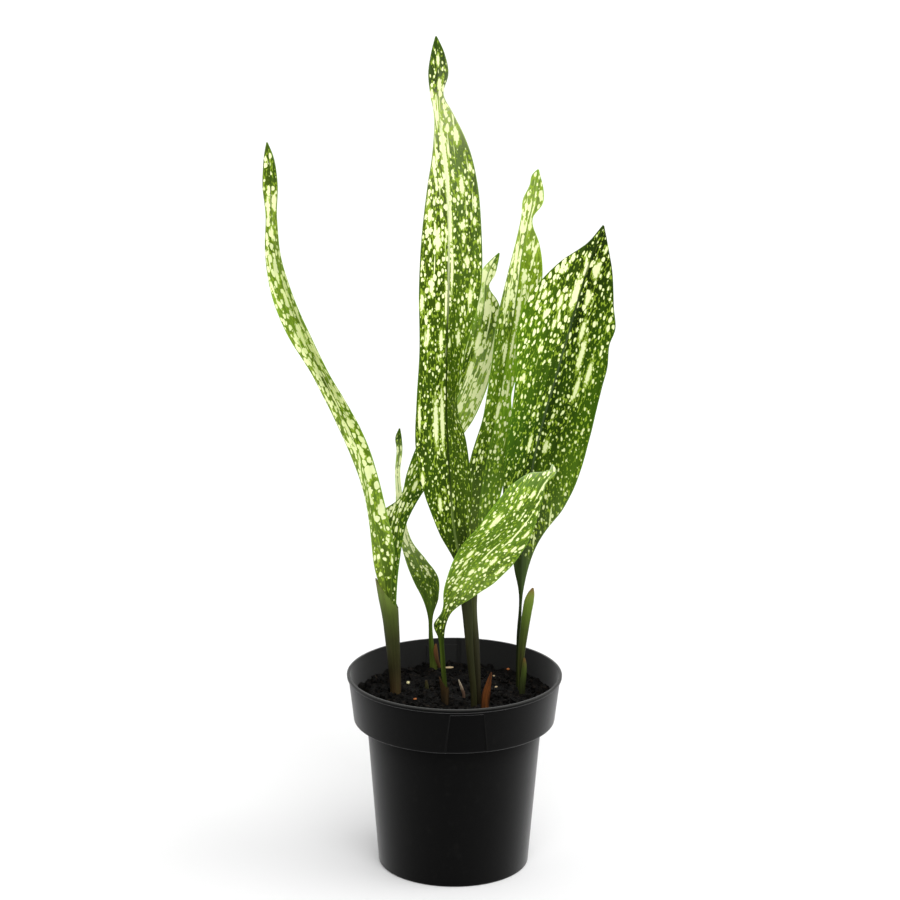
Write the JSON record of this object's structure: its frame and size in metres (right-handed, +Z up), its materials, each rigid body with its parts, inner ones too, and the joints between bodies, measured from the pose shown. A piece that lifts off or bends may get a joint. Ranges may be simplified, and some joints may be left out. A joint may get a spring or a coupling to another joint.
{
  "type": "potted cast iron plant",
  "caption": "Potted cast iron plant: upright speckled blades on long stalks, rising from potting mix in a dark round nursery pot with a stepped rim.",
  "frame": {"origin": "centre of the pot's base, on the surface it stands on", "axes": "+Z up along the pot's axis; -Y towards the front, the side the broad faces of the leaves turn to; +X to the right seen from the front"},
  "size_m": [0.2944, 0.186, 0.7321],
  "materials": {
    "pot": "satin",
    "potting_soil": "matte",
    "blade": "satin",
    "sheath": "matte",
    "dry": "matte",
    "pale": "matte"
  },
  "bodies": {
    "root": {"pot": "pot", "potting_soil": "potting_soil", "leaf_tall_left": "blade", "leaf_back_middle": "blade", "sheath_left_stem": "sheath", "leaf_tall_centre": "blade", "leaf_second": "blade", "leaf_broad_right": "blade", "leaf_low_front": "blade", "sheath_low_leaf": "dry", "leaf_small_left": "blade", "scale_small_leaf": "dry", "young_shoot": "blade", "scale_young_shoot": "blade", "scale_brown": "dry", "scale_pale": "pale", "stub_green": "sheath"}
  },
  "joints": []
}
